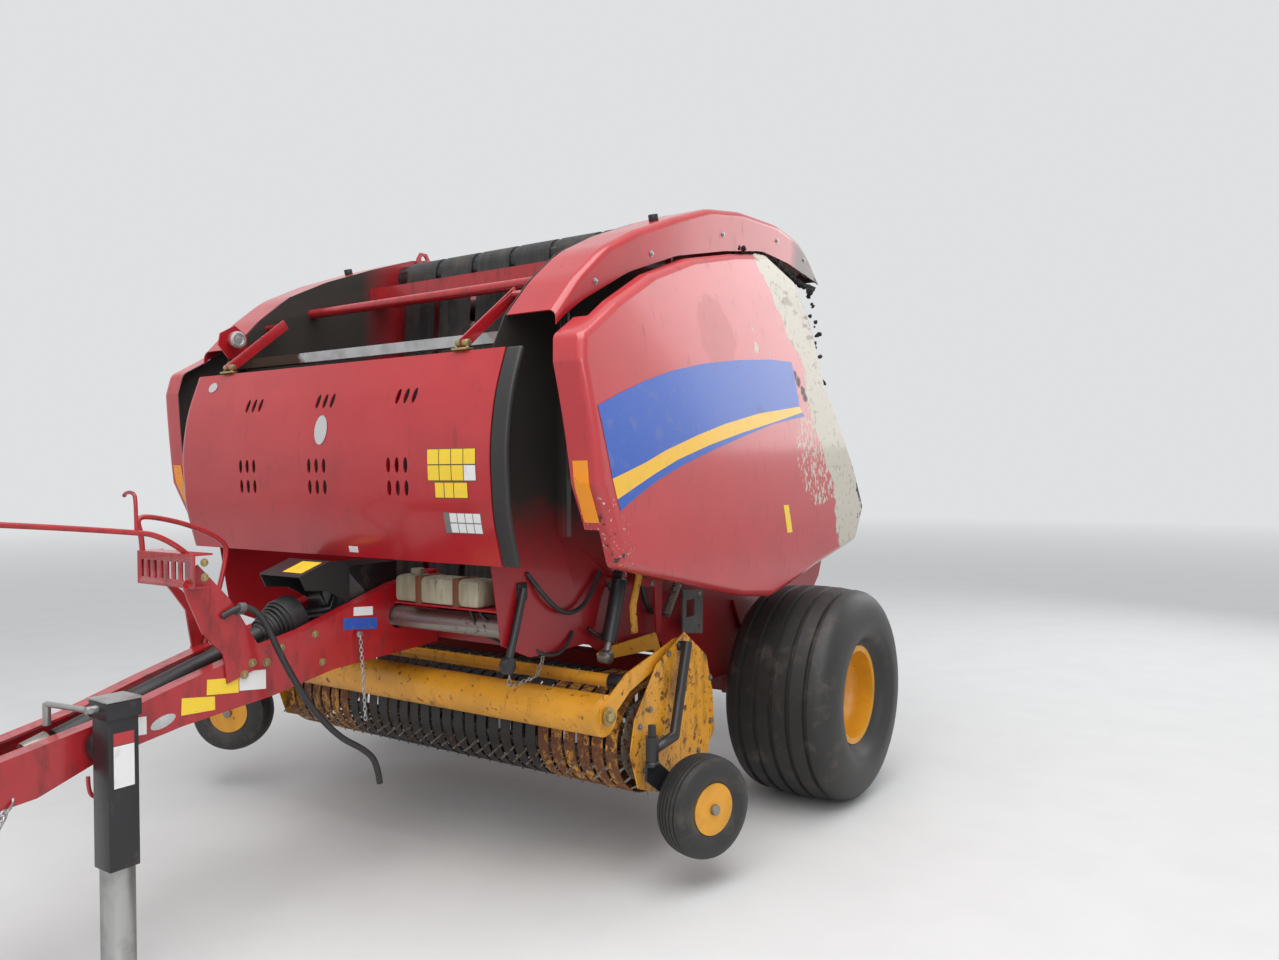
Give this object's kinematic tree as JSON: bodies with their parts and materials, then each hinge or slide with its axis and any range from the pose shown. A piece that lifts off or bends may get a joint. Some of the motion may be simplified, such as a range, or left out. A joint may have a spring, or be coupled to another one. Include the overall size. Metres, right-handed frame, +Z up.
{
  "type": "round baler",
  "caption": "Towed round baler on two wide wheels, with a tined pickup, a hinged tailgate, bulged side shields, a hinged front cover and a drawbar on a jack.",
  "frame": {"origin": "on the ground under the middle of the overall box", "axes": "+X to the baler's left side, +Y to the rear along the machine, +Z up; the drawbar points along -Y"},
  "size_m": [2.88, 4.658, 2.708],
  "materials": {
    "belt_rubber": "matt",
    "black_plastic": "matt",
    "black_steel": "satin",
    "chrome_rod": "polished",
    "lamp_red": "gloss",
    "red_paint": "gloss, weathered",
    "tyre_rubber": "matt",
    "yellow_paint": "gloss, weathered",
    "zinc_steel": "galvanised, dull"
  },
  "bodies": {
    "frame": {"axle": "red_paint", "cover_struts": "red_paint", "cross_drive": "red_paint", "deck_left": "red_paint", "deck_right": "red_paint", "drawbar_rail_left": "red_paint", "drawbar_rail_right": "red_paint", "frame_beams": "red_paint", "front_belts": "belt_rubber", "front_rolls": "black_steel", "gearbox": "black_steel", "hitch": "red_paint", "hose_bracket": "red_paint", "jack_post": "black_steel", "shaft_guard": "black_plastic", "shelf_rail": "zinc_steel", "side_sheet_left": "red_paint", "side_sheet_right": "red_paint", "top_frame": "red_paint"},
    "wheel_left": {"tyre_left": "tyre_rubber", "rim_left": "yellow_paint"},
    "wheel_right": {"tyre_right": "tyre_rubber", "rim_right": "yellow_paint"},
    "jack_leg": {"jack_leg": "zinc_steel"},
    "drive_shaft": {"drive_shaft": "black_steel"},
    "front_cover": {"front_cover": "red_paint", "cover_seal": "black_plastic"},
    "shield_left": {"shield_left": "red_paint"},
    "shield_right": {"shield_right": "red_paint"},
    "tailgate": {"gate_sheet_left": "red_paint", "gate_sheet_right": "red_paint", "gate_frame": "red_paint", "lamp_bar": "lamp_red", "gate_rolls": "black_steel", "gate_belts": "belt_rubber"},
    "gate_barrel_left": {"gate_barrel_left": "black_steel"},
    "gate_barrel_right": {"gate_barrel_right": "black_steel"},
    "gate_rod_left": {"gate_rod_left": "chrome_rod"},
    "gate_rod_right": {"gate_rod_right": "chrome_rod"},
    "pickup": {"pickup_beams": "yellow_paint", "pickup_side_left": "yellow_paint", "pickup_side_right": "yellow_paint", "pickup_bands": "yellow_paint"},
    "lift_barrel": {"lift_barrel": "black_steel"},
    "lift_rod": {"lift_rod": "chrome_rod"},
    "pickup_reel": {"pickup_reel": "black_steel"},
    "windguard": {"windguard": "yellow_paint"},
    "feed_rotor": {"feed_rotor": "black_steel"},
    "caster_left": {"caster_left": "black_steel"},
    "caster_right": {"caster_right": "black_steel"},
    "gauge_wheel_left": {"gauge_tyre_left": "tyre_rubber", "gauge_rim_left": "yellow_paint"},
    "gauge_wheel_right": {"gauge_tyre_right": "tyre_rubber", "gauge_rim_right": "yellow_paint"}
  },
  "joints": [
    {"name": "wheel_left_spin", "type": "hinge", "parent": "frame", "child": "wheel_left", "pos_m": [1.17, 1.077, 0.492], "axis": [1, 0, 0], "continuous": true},
    {"name": "wheel_right_spin", "type": "hinge", "parent": "frame", "child": "wheel_right", "pos_m": [-1.17, 1.077, 0.492], "axis": [1, 0, 0], "continuous": true},
    {"name": "jack_slide", "type": "slide", "parent": "frame", "child": "jack_leg", "axis": [0, 0, 1], "range_m": [0, 0.3]},
    {"name": "drive_shaft_spin", "type": "hinge", "parent": "frame", "child": "drive_shaft", "pos_m": [0, -0.953, 1.02], "axis": [0, 0.9545, 0.2983], "continuous": true},
    {"name": "cover_hinge", "type": "hinge", "parent": "frame", "child": "front_cover", "pos_m": [0, -0.775, 1.992], "axis": [-1, 0, 0], "range_deg": [0, 75]},
    {"name": "shield_left_hinge", "type": "hinge", "parent": "frame", "child": "shield_left", "pos_m": [1, 1.077, 2.56], "axis": [0, -1, 0], "range_deg": [0, 70]},
    {"name": "shield_right_hinge", "type": "hinge", "parent": "frame", "child": "shield_right", "pos_m": [-1, 1.077, 2.56], "axis": [0, 1, 0], "range_deg": [0, 70]},
    {"name": "tailgate_hinge", "type": "hinge", "parent": "frame", "child": "tailgate", "pos_m": [0, 1.077, 2.6], "axis": [1, 0, 0], "range_deg": [0, 55]},
    {"name": "gate_barrel_left_pin", "type": "hinge", "parent": "frame", "child": "gate_barrel_left", "pos_m": [0.862, 1.047, 1.5], "axis": [1, 0, 0], "range_deg": [-1.44, 0]},
    {"name": "gate_rod_left_slide", "type": "slide", "parent": "gate_barrel_left", "child": "gate_rod_left", "axis": [0, 0.4417, 0.8972], "range_m": [0, 0.49484]},
    {"name": "gate_barrel_right_pin", "type": "hinge", "parent": "frame", "child": "gate_barrel_right", "pos_m": [-0.862, 1.047, 1.5], "axis": [1, 0, 0], "range_deg": [-1.44, 0]},
    {"name": "gate_rod_right_slide", "type": "slide", "parent": "gate_barrel_right", "child": "gate_rod_right", "axis": [0, 0.4417, 0.8972], "range_m": [0, 0.49484]},
    {"name": "pickup_lift", "type": "hinge", "parent": "frame", "child": "pickup", "pos_m": [0, 0.377, 0.705], "axis": [1, 0, 0], "range_deg": [0, 12]},
    {"name": "lift_barrel_pin", "type": "hinge", "parent": "frame", "child": "lift_barrel", "pos_m": [0.856, -0.083, 1.13], "axis": [1, 0, 0], "range_deg": [0, 3.45]},
    {"name": "lift_rod_slide", "type": "slide", "parent": "lift_barrel", "child": "lift_rod", "axis": [0, -0.3144, -0.9493], "range_m": [0, 0.11814]},
    {"name": "reel_spin", "type": "hinge", "parent": "pickup", "child": "pickup_reel", "pos_m": [0, -0.093, 0.5], "axis": [1, 0, 0], "continuous": true},
    {"name": "windguard_hinge", "type": "hinge", "parent": "pickup", "child": "windguard", "pos_m": [0, 0.067, 0.85], "axis": [-1, 0, 0], "range_deg": [0, 12]},
    {"name": "feed_rotor_spin", "type": "hinge", "parent": "frame", "child": "feed_rotor", "pos_m": [0, 0.477, 0.77], "axis": [1, 0, 0], "continuous": true},
    {"name": "caster_left_swivel", "type": "hinge", "parent": "pickup", "child": "caster_left", "pos_m": [1.12, -0.263, 0.5], "axis": [0, 0, -1], "range_deg": [0, 104]},
    {"name": "gauge_wheel_left_spin", "type": "hinge", "parent": "caster_left", "child": "gauge_wheel_left", "pos_m": [1.25337, -0.12439, 0.3], "axis": [0.9613, -0.2756, 0], "continuous": true},
    {"name": "caster_right_swivel", "type": "hinge", "parent": "pickup", "child": "caster_right", "pos_m": [-1.12, -0.263, 0.585], "axis": [0, 0, 1], "range_deg": [-104, 0]},
    {"name": "gauge_wheel_right_spin", "type": "hinge", "parent": "caster_right", "child": "gauge_wheel_right", "pos_m": [-1.22222, -0.42594, 0.385], "axis": [0.5, -0.866, 0], "continuous": true}
  ],
  "couplings": [
    {"joint": "gate_barrel_left_pin", "follows": "tailgate_hinge", "ratio": -0.025729},
    {"joint": "gate_rod_left_slide", "follows": "tailgate_hinge", "m_per_rad": 0.51446},
    {"joint": "gate_barrel_right_pin", "follows": "tailgate_hinge", "ratio": -0.025729},
    {"joint": "gate_rod_right_slide", "follows": "tailgate_hinge", "m_per_rad": 0.51446},
    {"joint": "lift_barrel_pin", "follows": "pickup_lift", "ratio": 0.28192},
    {"joint": "lift_rod_slide", "follows": "pickup_lift", "m_per_rad": 0.56296}
  ]
}
